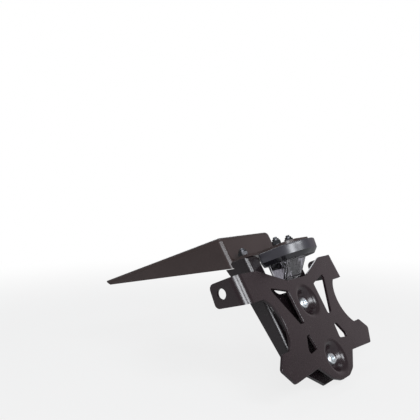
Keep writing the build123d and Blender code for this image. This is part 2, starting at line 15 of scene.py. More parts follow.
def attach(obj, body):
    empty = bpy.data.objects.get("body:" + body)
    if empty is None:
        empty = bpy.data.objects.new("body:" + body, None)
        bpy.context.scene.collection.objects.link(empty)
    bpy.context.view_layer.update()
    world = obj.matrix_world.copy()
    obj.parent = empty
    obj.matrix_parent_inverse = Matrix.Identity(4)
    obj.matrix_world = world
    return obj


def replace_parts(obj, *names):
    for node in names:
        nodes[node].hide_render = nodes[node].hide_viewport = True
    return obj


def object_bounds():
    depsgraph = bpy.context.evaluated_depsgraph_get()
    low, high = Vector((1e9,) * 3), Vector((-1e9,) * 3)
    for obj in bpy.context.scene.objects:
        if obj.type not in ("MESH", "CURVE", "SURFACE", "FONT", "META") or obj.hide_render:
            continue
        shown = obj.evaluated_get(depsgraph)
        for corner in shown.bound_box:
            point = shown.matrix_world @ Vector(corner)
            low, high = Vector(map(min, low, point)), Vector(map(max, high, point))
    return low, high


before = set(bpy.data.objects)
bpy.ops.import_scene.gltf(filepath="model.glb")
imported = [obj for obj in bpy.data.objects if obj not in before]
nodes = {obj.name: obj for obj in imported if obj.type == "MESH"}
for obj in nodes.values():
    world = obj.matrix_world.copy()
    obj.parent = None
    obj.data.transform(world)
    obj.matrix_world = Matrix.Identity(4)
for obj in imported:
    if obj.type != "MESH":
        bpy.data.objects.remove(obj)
cad_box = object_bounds()
scene = bpy.context.scene
MM = 0.001
# Points nearer than this, in metres, are one point
SEAM = 1e-6


# Node trees, for finishes and for shapes
class Wire:
    """A value in a node tree. Arithmetic on it adds Math nodes to its tree."""

    def __init__(self, owner, socket):
        self.owner = owner
        self.socket = socket

    def _math(self, operation, first, second):
        return self.owner.node("ShaderNodeMath", {"operation": operation}, {0: first, 1: second})

    def __add__(self, other):
        return self._math("ADD", self, other)

    def __radd__(self, other):
        return self._math("ADD", other, self)

    def __sub__(self, other):
        return self._math("SUBTRACT", self, other)

    def __rsub__(self, other):
        return self._math("SUBTRACT", other, self)

    def __mul__(self, other):
        return self._math("MULTIPLY", self, other)

    def __rmul__(self, other):
        return self._math("MULTIPLY", other, self)

    def __truediv__(self, other):
        return self._math("DIVIDE", self, other)

    def __rtruediv__(self, other):
        return self._math("DIVIDE", other, self)

    def lesser(self, other):
        return self._math("MINIMUM", self, other)

    def greater(self, other):
        return self._math("MAXIMUM", self, other)


class Tree:
    """A node tree, built node by node."""

    def __init__(self, tree):
        self.tree = tree

    def add(self, kind, settings=None, sockets=None):
        """Add a node by its type, its settings, and the values or links of its sockets."""
        made = self.tree.nodes.new(kind)
        for key, value in (settings or {}).items():
            if key == "items":
                while len(made.index_switch_items) < value:
                    made.index_switch_items.new()
            else:
                setattr(made, key, value)
        for key, value in (sockets or {}).items():
            for entry in value if isinstance(value, list) else [value]:
                if isinstance(entry, Wire):
                    self.tree.links.new(entry.socket, made.inputs[key])
                else:
                    made.inputs[key].default_value = entry
        return made

    def node(self, kind, settings=None, sockets=None, take=0):
        """Add a node and give one of its outputs."""
        return Wire(self, self.add(kind, settings, sockets).outputs[take])

    def math(self, operation, *values):
        """A Math node that isn't plain arithmetic."""
        return self.node("ShaderNodeMath", {"operation": operation}, dict(enumerate(values)))


class Finish(Tree):
    """One material."""

    def __init__(self, name):
        self.material = bpy.data.materials.new(name)
        self.material.use_nodes = True
        super().__init__(self.material.node_tree)
        self.tree.nodes.clear()
        self.end = self.tree.nodes.new("ShaderNodeOutputMaterial")

    def place(self, stretch=None):
        """Where a point is on the object, stretched along some axes if asked."""
        spot = self.node("ShaderNodeTexCoord", take="Object")
        if stretch:
            spot = self.node("ShaderNodeMapping", sockets={"Vector": spot, "Scale": stretch})
        return spot

    def noise(self, scale, detail=3.0, rough=0.5, stretch=None):
        """Cloudy noise with so many grains to a metre."""
        spot = self.place(stretch)
        sockets = {"Vector": spot, "Scale": scale, "Detail": detail, "Roughness": rough}
        return self.node("ShaderNodeTexNoise", sockets=sockets)

    def step(self, value, low, high):
        """Nought below one level of a value and one above another, with a soft slope between."""
        settings = {"interpolation_type": "SMOOTHSTEP"}
        sockets = {"Value": value, "From Min": low, "From Max": high}
        return self.node("ShaderNodeMapRange", settings, sockets)

    def mixed(self, share, first, second):
        """A blend of two colours, through the Mix node's colour sockets."""
        sockets = {0: share, 6: first, 7: second}
        return self.node("ShaderNodeMix", {"data_type": "RGBA"}, sockets, take=2)

    def bump(self, height, distance, strength=1.0):
        """A normal roughened by a height."""
        sockets = {"Height": height, "Distance": distance, "Strength": strength}
        return self.node("ShaderNodeBump", sockets=sockets)

    def close(self, shader):
        """Finish with a shader."""
        self.tree.links.new(shader.socket, self.end.inputs["Surface"])
        return self.material

    def surface(self, sockets):
        """Finish with the main shader."""
        return self.close(self.node("ShaderNodeBsdfPrincipled", sockets=sockets))


class Shaper(Tree):
    """A Geometry Nodes tree that makes one shape at each of its places. Its sizes are named inputs."""

    def __init__(self, name):
        super().__init__(bpy.data.node_groups.new(name, "GeometryNodeTree"))
        self.keys = {}
        self.way_in = self.tree.nodes.new("NodeGroupInput")
        interface = self.tree.interface
        interface.new_socket("Places", in_out="INPUT", socket_type="NodeSocketGeometry")
        interface.new_socket("Shape", in_out="OUTPUT", socket_type="NodeSocketGeometry")
        self.finish = self.size("Finish", "NodeSocketMaterial")
        self.axis = self.size("Axis", "NodeSocketVector")
        self.seed = self.size("Seed", "NodeSocketInt")

    def size(self, name, kind="NodeSocketFloat"):
        """A named input."""
        socket = self.tree.interface.new_socket(name, in_out="INPUT", socket_type=kind)
        self.keys[name] = socket.identifier
        return Wire(self, self.way_in.outputs[name])

    def pick(self, ring, values):
        """The value that belongs to each ring."""
        settings = {"data_type": "FLOAT", "items": len(values)}
        sockets = {0: ring, **{1 + number: value for number, value in enumerate(values)}}
        return self.node("GeometryNodeIndexSwitch", settings, sockets)

    def wrapped(self, rings, around):
        """A sheet of rings to be wrapped round the axis: the sheet, its share along and its turn."""
        sizes = {"Size X": 1.0, "Size Y": 1.0, "Vertices X": rings, "Vertices Y": around + 1}
        sheet = self.node("GeometryNodeMeshGrid", sockets=sizes)
        spot = self.add("ShaderNodeSeparateXYZ", sockets={0: self.node("GeometryNodeInputPosition")})
        share = Wire(self, spot.outputs[0]) + 0.5
        turn = (Wire(self, spot.outputs[1]) + 0.5) * (2 * math.pi)
        return sheet, share, turn

    def merged(self, shape):
        """Join the points that meet at a seam."""
        return self.node("GeometryNodeMergeByDistance", sockets={"Geometry": shape, "Distance": SEAM})

    def rolled(self, sheet, turn, radius, height):
        """Wrap a sheet round the axis and close its seam."""
        across = radius * self.math("COSINE", turn)
        along = radius * self.math("SINE", turn)
        spot = self.node("ShaderNodeCombineXYZ", sockets={0: across, 1: along, 2: height})
        sockets = {"Geometry": sheet, "Position": spot}
        return self.merged(self.node("GeometryNodeSetPosition", sockets=sockets))

    def hexagon(self, turn, flats):
        """How far a hexagon's side is from its axis at each turn."""
        swing = self.math("WRAP", turn, math.radians(30), math.radians(-30))
        return flats * 0.5 / self.math("COSINE", swing)

    def turned(self, profile, around, flats=None):
        """A turned shape from (radius, height) pairs. A third entry keeps a ring in the hexagon."""
        sheet, share, turn = self.wrapped(len(profile), around)
        along = share * (len(profile) - 1)
        ring = self.node("FunctionNodeFloatToInt", {"rounding_mode": "ROUND"}, {0: along})
        radius = self.pick(ring, [entry[0] for entry in profile])
        if flats is not None:
            free = self.pick(ring, [0.0 if len(entry) > 2 else 1.0 for entry in profile])
            radius = radius.lesser(self.hexagon(turn, flats) + free)
        return self.rolled(sheet, turn, radius, self.pick(ring, [entry[1] for entry in profile]))

    def finished(self, shapes):
        """Put the joined shapes at each place, turned at random about their axis."""
        whole = self.merged(self.node("GeometryNodeJoinGeometry", sockets={0: shapes}))
        upright = self.node("FunctionNodeAlignRotationToVector", {"axis": "Z"}, {"Vector": self.axis})
        least_and_most = {2: 0.0, 3: math.pi}
        draw = {**least_and_most, "Seed": self.seed}
        chance = self.node("FunctionNodeRandomValue", {"data_type": "FLOAT"}, draw, take=1)
        about = {"Axis": (0, 0, 1), "Angle": chance}
        spin = self.node("FunctionNodeAxisAngleToRotation", sockets=about)
        turns = {"Rotation": upright, "Rotate By": spin}
        posed = self.node("FunctionNodeRotateRotation", {"rotation_space": "LOCAL"}, turns)
        places = Wire(self, self.way_in.outputs["Places"])
        sockets = {"Points": places, "Instance": whole, "Rotation": posed}
        placed = self.node("GeometryNodeInstanceOnPoints", sockets=sockets)
        real = self.node("GeometryNodeRealizeInstances", sockets={"Geometry": placed})
        sockets = {"Geometry": real, "Material": self.finish}
        self.add("NodeGroupOutput", sockets={0: self.node("GeometryNodeSetMaterial", sockets=sockets)})
        return self


# Frames of the carrier, the lamp shelf and the lamp, as in the CAD
def leaning(origin, lean):
    """A frame turned about the x axis, from its origin and the angle of its y axis above level."""
    turn = Matrix.Rotation(math.radians(lean), 4, "X")
    return Matrix.Translation(Vector(origin)) @ turn


carrier_lean = 60.0
shelf_lean = -21.0
carrier_frame = leaning((0.0, -132.0609, -31.1781), carrier_lean)
shelf_frame = leaning((0.0, -80.4390, 1.8340), shelf_lean)
lamp_frame = leaning((0.0, -114.4213, 14.8786), shelf_lean)


def spots(place, points):
    """Points of a frame, in metres in the object's frame."""
    return [tuple((place @ Vector(point)) * MM) for point in points]


def facing(place, up):
    """A frame's z axis, or its opposite."""
    return tuple((place.to_3x3() @ Vector((0, 0, 1))) * up)


def standing(place, points, height, up):
    """Where shapes stand at a height above a frame's plane, and the way that they point."""
    return spots(place, [(x, y, height) for x, y in points]), facing(place, up)


# Drops of the lamp's levels below its top
roof_under = 2.5
band_middle = 4.0
band_foot = 8.5
ledge_top = 9.5
lip_foot = 12.5


# Finishes
def colour(red, green, blue):
    """A solid colour."""
    return (red, green, blue, 1.0)


def toned(tint, share):
    """A colour that is a share of a tint."""
    return colour(*(share * part for part in tint))


def powder_coat(name, deep, light, gloss, mirror):
    """Satin black powder coat: fine orange peel, handling marks, rubbed edges and a little dust."""
    coat = Finish(name)
    clouds = coat.noise(26.0, 4.0)
    marks = coat.step(coat.noise(75.0, 5.0, 0.6), 0.50, 0.72)
    fine = coat.noise(1900.0, 1.0)
    dust = coat.step(fine, 0.66, 0.74) * coat.step(coat.noise(60.0, 2.0), 0.42, 0.66)
    rubs = coat.step(coat.noise(420.0, 3.0, 0.6, stretch=(1.0, 0.12, 0.25)), 0.66, 0.74)
    edge = coat.node("ShaderNodeAttribute", {"attribute_name": "cut_edge"}, take="Fac")
    bare = edge * coat.step(coat.noise(140.0, 4.0, 0.6), 0.42, 0.66)
    tone = coat.mixed(clouds * 0.8, colour(*deep), colour(*light))
    tone = coat.mixed(dust * 0.35, tone, colour(0.16, 0.15, 0.14))
    tone = coat.mixed((bare * 0.7).greater(edge * 0.25), tone, colour(0.10, 0.095, 0.095))
    peel = coat.noise(950.0, 2.0) + coat.noise(2800.0, 1.0) * 0.4 - rubs * 0.25
    return coat.surface({
        "Base Color": tone,
        "Roughness": gloss + clouds * 0.08 + marks * 0.07 + rubs * 0.05,
        "Specular IOR Level": mirror,
        "Normal": coat.bump(peel, 0.00010, 0.45),
    })


def bright_steel(name, tint, rough, dirt):
    """Bare or plated steel with a fine grain and stains."""
    steel = Finish(name)
    grain = steel.noise(1400.0, 4.0, 0.7)
    stain = steel.step(steel.noise(380.0, 4.0, 0.6), 0.38, 0.72)
    return steel.surface({
        "Base Color": steel.mixed(stain * dirt, colour(*tint), toned(tint, 0.35)),
        "Metallic": 1.0,
        "Roughness": rough + grain * 0.12 + stain * 0.08,
        "Normal": steel.bump(grain, 0.00002, 0.4),
    })


def plastic_skin(plastic, tint):
    """What moulded plastics share: their grain, clouds, dust and colour."""
    grain = plastic.noise(1700.0, 2.0)
    clouds = plastic.noise(75.0, 3.0)
    dust = plastic.step(plastic.noise(1500.0, 1.0), 0.64, 0.74) * clouds
    tone = plastic.mixed(clouds, colour(*tint), toned(tint, 1.5))
    return grain, clouds, dust, plastic.mixed(dust * 0.2, tone, colour(0.22, 0.21, 0.20))


def moulded(name, tint, rough, skin):
    """Moulded plastic or rubber with a faint skin."""
    plastic = Finish(name)
    grain, clouds, dust, tone = plastic_skin(plastic, tint)
    return plastic.surface({
        "Base Color": tone,
        "Roughness": rough + clouds * 0.08 + dust * 0.15,
        "Normal": plastic.bump(grain, 0.00003, skin),
    })


def gloss_housing(name, tint, place, edge):
    """Gloss moulded plastic, more polished below a height of a frame and darker there as painted shade.
    """
    plastic = Finish(name)
    grain, clouds, dust, tone = plastic_skin(plastic, tint)
    up = Vector(facing(place, 1))
    level = (up.dot(place.translation) + edge) * MM
    settings = {"operation": "DOT_PRODUCT"}
    sockets = {0: plastic.place(), 1: up}
    height = plastic.node("ShaderNodeVectorMath", settings, sockets, take="Value")
    band = plastic.step(height, level - 0.2 * MM, level + 0.1 * MM)
    return plastic.surface({
        # Below the band's foot the tint falls to three tenths: painted shade on the lip, the underside
        # and the inside
        "Base Color": plastic.mixed(band, toned(tint, 0.3), tone),
        "Roughness": 0.12 + band * 0.19 + clouds * 0.08 + dust * 0.15,
        "Specular IOR Level": 1.0,
        "Normal": plastic.bump(grain, 0.00003, 0.15),
    })


def clear_plastic(name, tint, rough):
    """Clear moulded plastic or glass with a slight haze."""
    clear = Finish(name)
    haze = clear.noise(140.0, 3.0)
    return clear.surface({
        "Base Color": clear.mixed(haze * 0.5, colour(*tint), toned(tint, 0.86)),
        "Roughness": rough + haze * 0.04,
        "IOR": 1.49,
        "Transmission Weight": 1.0,
    })


def silvered(name):
    """Bright vacuum plated reflector."""
    plate = Finish(name)
    haze = plate.noise(150.0, 3.0)
    return plate.surface({
        "Base Color": plate.mixed(haze * 0.4, colour(0.86, 0.86, 0.88), colour(0.60, 0.60, 0.63)),
        "Metallic": 1.0,
        "Roughness": 0.08 + haze * 0.1,
    })


# One black coat in three tones: the mount's lighter as painted light, the hanger's and the carrier's
# darker as painted shade
mount_coat = powder_coat(
    "mount_coat", deep=(0.028, 0.0185, 0.0175), light=(0.046, 0.0310, 0.0295), gloss=0.28, mirror=0.5
)
hanger_coat = powder_coat(
    "hanger_coat", deep=(0.007, 0.0042, 0.0054), light=(0.012, 0.0076, 0.0092), gloss=0.22, mirror=0.6
)
carrier_coat = powder_coat(
    "carrier_coat", deep=(0.010, 0.0048, 0.0064), light=(0.018, 0.0090, 0.0115), gloss=0.21, mirror=0.65
)
stainless = bright_steel("stainless", (0.90, 0.95, 0.98), rough=0.26, dirt=0.12)
# A darkened copy of the stainless, painted shade on the screws at the shelf and the lamp
dull_steel = bright_steel("dull_steel", (0.26, 0.27, 0.29), rough=0.34, dirt=0.6)
black_steel = bright_steel("black_steel", (0.075, 0.075, 0.080), rough=0.32, dirt=0.6)
tungsten = bright_steel("tungsten", (0.45, 0.44, 0.43), rough=0.30, dirt=0.2)
black_rubber = moulded("black_rubber", (0.013, 0.013, 0.013), rough=0.60, skin=0.6)
# Black for the sheet inside the lens, painted shade that darkens what shows through it
lamp_shade_black = moulded("lamp_shade_black", (0.011, 0.0105, 0.0125), rough=0.40, skin=0.4)
holder_plastic = moulded("holder_plastic", (0.40, 0.38, 0.33), rough=0.42, skin=0.4)
nylon = moulded("nylon", (0.030, 0.036, 0.075), rough=0.38, skin=0.3)
lamp_gloss = gloss_housing("lamp_gloss", (0.022, 0.0205, 0.0265), lamp_frame, edge=-band_foot)
# The lens's grey tint is painted shade, darkening what shows through it
lamp_clear = clear_plastic("lamp_clear", (0.60, 0.59, 0.63), rough=0.03)
bulb_glass = clear_plastic("bulb_glass", (0.96, 0.97, 0.98), rough=0.0)
reflector_silver = silvered("reflector_silver")

finishes = {
    "plate_carrier": carrier_coat,
    "lamp_gasket": black_rubber,
    "lamp_reflector": reflector_silver,
}
for name, finish in finishes.items():
    for material_slot in nodes[name].material_slots:
        material_slot.material = finish


# Small hardware, made by Geometry Nodes
def arc(centre, radius, first, last, steps):
    """Points on an arc in a profile, given in degrees."""
    points = []
    for number in range(steps + 1):
        angle = math.radians(first + (last - first) * number / steps)
        points.append((centre[0] + radius * math.cos(angle), centre[1] + radius * math.sin(angle)))
    return points


def button_screw():
    """A button head screw with a hexagon socket, its thread pointing down from the head's seat."""
    make = Shaper("button_screw")
    head = make.size("Head radius")
    tall = make.size("Head height")
    dome = make.size("Dome radius")
    flats = make.size("Socket flats")
    deep = make.size("Socket depth")
    shank = make.size("Shank radius")
    reach = make.size("Shank length")
    pitch = make.size("Thread pitch")
    tooth = make.size("Thread depth")
    turns = make.size("Thread rings", "NodeSocketInt")
    around = 48
    floor = tall - deep
    profile = [
        (0.0, floor - flats * 0.12),
        (flats * 0.40, floor, True),
        (1.0, floor + flats * 0.03, True),
        (1.0, tall - flats * 0.06, True),
        (flats * 0.60, tall),
    ]
    profile += arc((head - dome, tall - dome), dome, 90, 0, 10)
    profile += [(head, tall * 0.10), (head - tall * 0.06, 0.0), (shank, 0.0)]
    cap = make.turned(profile, around, flats)
    sheet, share, turn = make.wrapped(turns, around)
    along = share * reach
    wave = make.math("PINGPONG", along / pitch + turn / (2 * math.pi), 0.5) * 2.0
    thread = (shank - tooth * wave).lesser(shank - tooth * 1.2 + (reach - along))
    rod = make.rolled(sheet, turn, thread, along * -1.0)
    tip = make.turned([(shank - tooth * 1.2, reach * -1.0), (0.0, reach * -1.0)], around)
    return make.finished([cap, rod, tip])


# Shares of a lock nut's collar radius and height at which its insert's recess starts
recess_wide = 0.80
recess_floor = 0.70


def lock_nut():
    """A lock nut: a chamfered hexagon under a crimped collar."""
    make = Shaper("lock_nut")
    flats = make.size("Flats")
    tall = make.size("Height")
    bore = make.size("Bore radius")
    collar = make.size("Collar radius")
    corner = flats * 0.5774
    edge = flats * 0.495
    slope = (corner - edge) * 0.5
    hexed = tall * 0.68
    recess = collar * recess_wide
    profile = [(bore, 0.0), (bore, tall * recess_floor), (recess, tall * recess_floor)]
    profile += [(recess, tall * 0.97), (collar * 0.84, tall), (collar * 0.92, tall * 0.985)]
    profile += [(collar, tall * 0.93), (collar, hexed)]
    for number in range(7):
        share = number / 6
        profile.append((edge + (corner - edge) * share, hexed - slope * share, True))
    for number in range(7):
        share = 1 - number / 6
        profile.append((edge + (corner - edge) * share, slope * share, True))
    profile += [(edge * 0.96, 0.0), (bore, 0.0)]
    return make.finished([make.turned(profile, 72, flats)])


def soft_ring():
    """A washer, spacer or insert: a ring with rounded edges."""
    make = Shaper("soft_ring")
    outer = make.size("Outer radius")
    bore = make.size("Bore radius")
    tall = make.size("Height")
    soft = make.size("Edge radius")
    profile = [(bore, soft), (bore, tall - soft), (bore + soft, tall), (outer - soft, tall)]
    profile += arc((outer - soft, tall - soft), soft, 68, 0, 3)
    profile += arc((outer - soft, soft), soft, 0, -90, 4)
    profile += [(bore + soft, 0.0), (bore, soft)]
    return make.finished([make.turned(profile, 64)])


def kept(piece, smooth=35.0):
    """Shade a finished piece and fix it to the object."""
    piece.data.shade_smooth()
    piece.data.set_sharp_from_angle(angle=math.radians(smooth))
    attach(piece, "root")
    return piece


def plain_mesh(piece):
    """Replace a piece's mesh by what its modifiers make of it, and drop them."""
    evaluated = piece.evaluated_get(bpy.context.evaluated_depsgraph_get())
    mesh = bpy.data.meshes.new_from_object(evaluated)
    piece.modifiers.clear()
    piece.data = mesh


def hardware(name, shaper, stand, finish, sizes, seed=1):
    """Make a shaper's shape at each place of a stand, as one plain mesh."""
    places, axis = stand
    points = bpy.data.meshes.new(name)
    points.from_pydata(places, [], [])
    piece = bpy.data.objects.new(name, points)
    scene.collection.objects.link(piece)
    modifier = piece.modifiers.new("shape", "NODES")
    modifier.node_group = shaper.tree
    modifier[shaper.keys["Finish"]] = finish
    modifier[shaper.keys["Axis"]] = axis
    modifier[shaper.keys["Seed"]] = seed
    for key, value in sizes.items():
        modifier[shaper.keys[key]] = value if isinstance(value, int) else value * MM
    plain_mesh(piece)
    return kept(piece)


def screw_sizes(thread, pitch, head, tall, flats, deep, reach):
    """The sizes of a button head screw, from its thread radius on."""
    return {
        "Head radius": head,
        "Head height": tall,
        "Dome radius": tall * 0.75,
        "Socket flats": flats,
        "Socket depth": deep,
        "Shank radius": thread,
        "Shank length": reach,
        "Thread pitch": pitch,
        "Thread depth": pitch * 0.54,
        "Thread rings": int(reach / pitch * 8) + 1,
    }


def collar_radius(flats):
    """The radius of a lock nut's collar."""
    return flats / 2 - 0.5


def nut_sizes(flats, tall, thread):
    """The sizes of a lock nut, with its thread's radius."""
    collar = collar_radius(flats)
    return {"Flats": flats, "Height": tall, "Bore radius": thread + 0.1, "Collar radius": collar}


def ring_sizes(outer, bore, tall, soft):
    """The sizes of a ring."""
    return {"Outer radius": outer, "Bore radius": bore, "Height": tall, "Edge radius": soft}


screw_maker = button_screw()
nut_maker = lock_nut()
ring_maker = soft_ring()
M6 = screw_sizes(thread=3.0, pitch=1.0, head=5.25, tall=3.3, flats=4.0, deep=2.0, reach=16.6)
M5 = screw_sizes(thread=2.5, pitch=0.8, head=4.75, tall=2.75, flats=3.0, deep=1.6, reach=11.5)
M4 = screw_sizes(thread=2.0, pitch=0.7, head=3.6, tall=1.8, flats=2.5, deep=1.1, reach=12.3)
M6_washer = ring_sizes(outer=6.0, bore=3.3, tall=1.6, soft=0.25)
M4_washer = ring_sizes(outer=4.5, bore=2.25, tall=0.8, soft=0.15)
spacer = ring_sizes(outer=8.0, bore=3.3, tall=2.5, soft=0.6)
# Flats, height and thread radius of the nuts
M6_nut = (10.0, 6.0, 3.0)
M5_nut = (8.0, 5.0, 2.5)
M4_nut = (7.0, 5.0, 2.0)

# Places and heights of the fasteners in their frames
dishes = [(0.0, 0.0), (0.0, -50.0)]
feet = [(-29.0, -7.7), (29.0, -7.7)]
lamp_holes = [(-10.5, 5.0), (10.5, 5.0)]
dish_floor = -6.5
spacer_foot = -11.5
washer_foot = -15.6
sheet = 2.5
lamp_nut_foot = sheet + M4_washer["Height"]
dish_screws_at = standing(carrier_frame, dishes, dish_floor, 1)
dish_spacers_at = standing(carrier_frame, dishes, spacer_foot, 1)
dish_washers_at = standing(carrier_frame, dishes, washer_foot, 1)
dish_nuts_at = standing(carrier_frame, dishes, washer_foot, -1)
foot_screws_at = standing(shelf_frame, feet, -sheet, -1)
foot_nuts_at = standing(shelf_frame, feet, sheet, 1)
lamp_screws_at = standing(lamp_frame, lamp_holes, -roof_under, -1)
lamp_washers_at = standing(lamp_frame, lamp_holes, sheet, 1)
lamp_nuts_at = standing(lamp_frame, lamp_holes, lamp_nut_foot, 1)

screw_rows = [
    ("carrier_screw_set", "carrier_screws", dish_screws_at, stainless, M6, 4),
    ("hanger_screw_set", "hanger_screws", foot_screws_at, dull_steel, M5, 2),
    ("lamp_screw_set", "lamp_screws", lamp_screws_at, dull_steel, M4, 3),
]
for name, node, stand, finish, sizes, seed in screw_rows:
    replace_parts(hardware(name, screw_maker, stand, finish, sizes, seed), node)
nut_rows = [
    ("carrier_nut_set", "carrier_nuts", dish_nuts_at, M6_nut, 5),
    ("hanger_nut_set", "hanger_nuts", foot_nuts_at, M5_nut, 6),
    ("lamp_nut_set", "lamp_nuts", lamp_nuts_at, M4_nut, 7),
]
for name, node, stand, nut, seed in nut_rows:
    piece = hardware(name, nut_maker, stand, black_steel, nut_sizes(*nut), seed)
    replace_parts(piece, node)
ring_rows = [
    ("carrier_washer_set", "carrier_washers", dish_washers_at, black_steel, "black_steel", M6_washer),
    ("lamp_washer_set", "lamp_washers", lamp_washers_at, black_steel, "black_steel", M4_washer),
    ("carrier_spacer_set", "carrier_spacers", dish_spacers_at, black_rubber, "black_rubber", spacer),
]
for name, node, stand, finish, slot, sizes in ring_rows:
    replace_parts(hardware(name, ring_maker, stand, finish, sizes), node)
insert_rows = [
    ("carrier_nut_inserts", carrier_frame, dishes, washer_foot, -1, M6_nut),
    ("hanger_nut_inserts", shelf_frame, feet, sheet, 1, M5_nut),
    ("lamp_nut_inserts", lamp_frame, lamp_holes, lamp_nut_foot, 1, M4_nut),
]
insert_play = 0.02
insert_soft = 0.2
insert_share = 0.22
for name, place, points, foot, up, (flats, tall, thread) in insert_rows:
    stand = standing(place, points, foot + up * tall * recess_floor, up)
    outer = collar_radius(flats) * recess_wide - insert_play
    sizes = ring_sizes(outer, thread + insert_play, tall * insert_share, insert_soft)
    hardware(name, ring_maker, stand, nylon, sizes)


# Folded sheet: the CAD's own shape with its cut edges softened
def softened(node, name, width, finish):
    """A copy of a CAD node whose sharp edges are rounded and marked as cut edges."""
    solid = bmesh.new()
    solid.from_mesh(nodes[node].data)
    bmesh.ops.remove_doubles(solid, verts=solid.verts, dist=2 * SEAM)
    flat = math.radians(0.2)
    bmesh.ops.dissolve_limit(solid, angle_limit=flat, verts=solid.verts, edges=solid.edges)
    solid.normal_update()
    steep = math.radians(50)
    sharp = [edge for edge in solid.edges if edge.is_manifold and edge.calc_face_angle() > steep]
    mark = solid.faces.layers.float.new("cut_edge")
    rounding = bmesh.ops.bevel(
        solid, geom=sharp, affect="EDGES", offset=width * MM, segments=2, profile=0.5,
        clamp_overlap=True,
    )
    for face in rounding["faces"]:
        face[mark] = 1.0
    mesh = bpy.data.meshes.new(name)
    solid.to_mesh(mesh)
    solid.free()
    mesh.materials.clear()
    mesh.materials.append(finish)
    piece = bpy.data.objects.new(name, mesh)
    scene.collection.objects.link(piece)
    kept(piece, smooth=30.0)
    even = piece.modifiers.new("even", "WEIGHTED_NORMAL")
    even.keep_sharp = True
    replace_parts(piece, node)


cut_edge_width = 0.35
softened("mount_bracket", "mount_sheet", cut_edge_width, mount_coat)
softened("hanger", "hanger_sheet", cut_edge_width, hanger_coat)

# Lamp: a gloss housing, a clear lens with faint flutes, a dark sheet inside it as painted shade, a bulb
# and a cable grommet
corner_steps = 12
flute_steps = 10
wide_side_flutes = 4
long_side_flutes = 3
round_angles = (90, 67.5, 45, 22.5, 0)


def plan(drop, front, width, length, corner, rear_corner=None, flute=0.0):
    """A rounded rectangle at a drop below the lamp's top, with flutes pressed out of its sides."""
    half = width / 2
    rear = front - length
    tail = corner if rear_corner is None else rear_corner
    corners = [
        (half - corner, front - corner, 0, corner),
        (-half + corner, front - corner, 90, corner),
        (-half + tail, rear + tail, 180, tail),
        (half - tail, rear + tail, 270, tail),
    ]
    points = []
    for number, (x, y, first, radius) in enumerate(corners):
        for step in range(corner_steps + 1):
            angle = math.radians(first + 90 * step / corner_steps)
            points.append((x + radius * math.cos(angle), y + radius * math.sin(angle), -drop))
        across = math.cos(math.radians(first + 90))
        along = math.sin(math.radians(first + 90))
        x_start, y_start = points[-1][:2]
        x_next, y_next, _, next_radius = corners[(number + 1) % 4]
        x_run = x_next + next_radius * across - x_start
        y_run = y_next + next_radius * along - y_start
        flutes = wide_side_flutes if number % 2 == 0 else long_side_flutes
        steps = flutes * flute_steps
        for step in range(1, steps):
            share = step / steps
            push = flute * math.sin(math.pi * flutes * share) ** 2
            x_side = x_start + x_run * share + push * across
            y_side = y_start + y_run * share + push * along
            points.append((x_side, y_side, -drop))
    return points


def inset(outline, by):
    """An outline, which is a plan without its drop, pulled in all round."""
    front, width, length, *corners = outline
    return (front - by, width - 2 * by, length - 2 * by, *(corner - by for corner in corners))


def between(first, last, share):
    """The sizes of a plan part of the way from one plan to another."""
    return [a + (b - a) * share for a, b in zip(first, last)]


def rounded(drop, outline, soft, down):
    """Plans round a soft edge at a drop, from the edge's inside out, down or up the side."""
    plans = []
    for angle in round_angles:
        pulled = soft * (1 - math.cos(math.radians(angle)))
        moved = soft * (1 - math.sin(math.radians(angle)))
        plans.append((drop + down * moved, *inset(outline, pulled)))
    return plans


def drilled(piece, place, holes):
    """Cut round holes in a closed piece, each from its start, its end and its radius in a frame."""
    drills = bmesh.new()
    for start, end, radius in holes:
        first, last = (Vector(spot) for spot in spots(place, [start, end]))
        turn = (last - first).to_track_quat("Z", "Y").to_matrix().to_4x4()
        bmesh.ops.create_cone(
            drills, cap_ends=True, segments=32, radius1=radius * MM, radius2=radius * MM,
            depth=(last - first).length, matrix=Matrix.Translation((first + last) / 2) @ turn,
        )
    mesh = bpy.data.meshes.new("drills")
    drills.to_mesh(mesh)
    drills.free()
    cutter = bpy.data.objects.new("drills", mesh)
    scene.collection.objects.link(cutter)
    cut = piece.modifiers.new("holes", "BOOLEAN")
    cut.object = cutter
    cut.solver = "EXACT"
    plain_mesh(piece)
    bpy.data.objects.remove(cutter)


def skinned(name, loops, place, finish, smooth=35.0, holes=()):
    """A closed skin over loops of equal length, capped at both ends and drilled."""
    skin = bmesh.new()
    rows = [[skin.verts.new(spot) for spot in spots(place, loop)] for loop in loops]
    count = len(rows[0])
    for upper, lower in zip(rows, rows[1:]):
        for number in range(count):
            following = (number + 1) % count
            skin.faces.new((upper[number], lower[number], lower[following], upper[following]))
    for row in (rows[0], rows[-1]):
        centre = skin.verts.new(sum((vertex.co for vertex in row), Vector()) / count)
        for number in range(count):
            skin.faces.new((row[number], row[(number + 1) % count], centre))
    bmesh.ops.recalc_face_normals(skin, faces=skin.faces)
    mesh = bpy.data.meshes.new(name)
    skin.to_mesh(mesh)
    skin.free()
    mesh.materials.append(finish)
    piece = bpy.data.objects.new(name, mesh)
    scene.collection.objects.link(piece)
    if holes:
        drilled(piece, place, holes)
    return kept(piece, smooth)


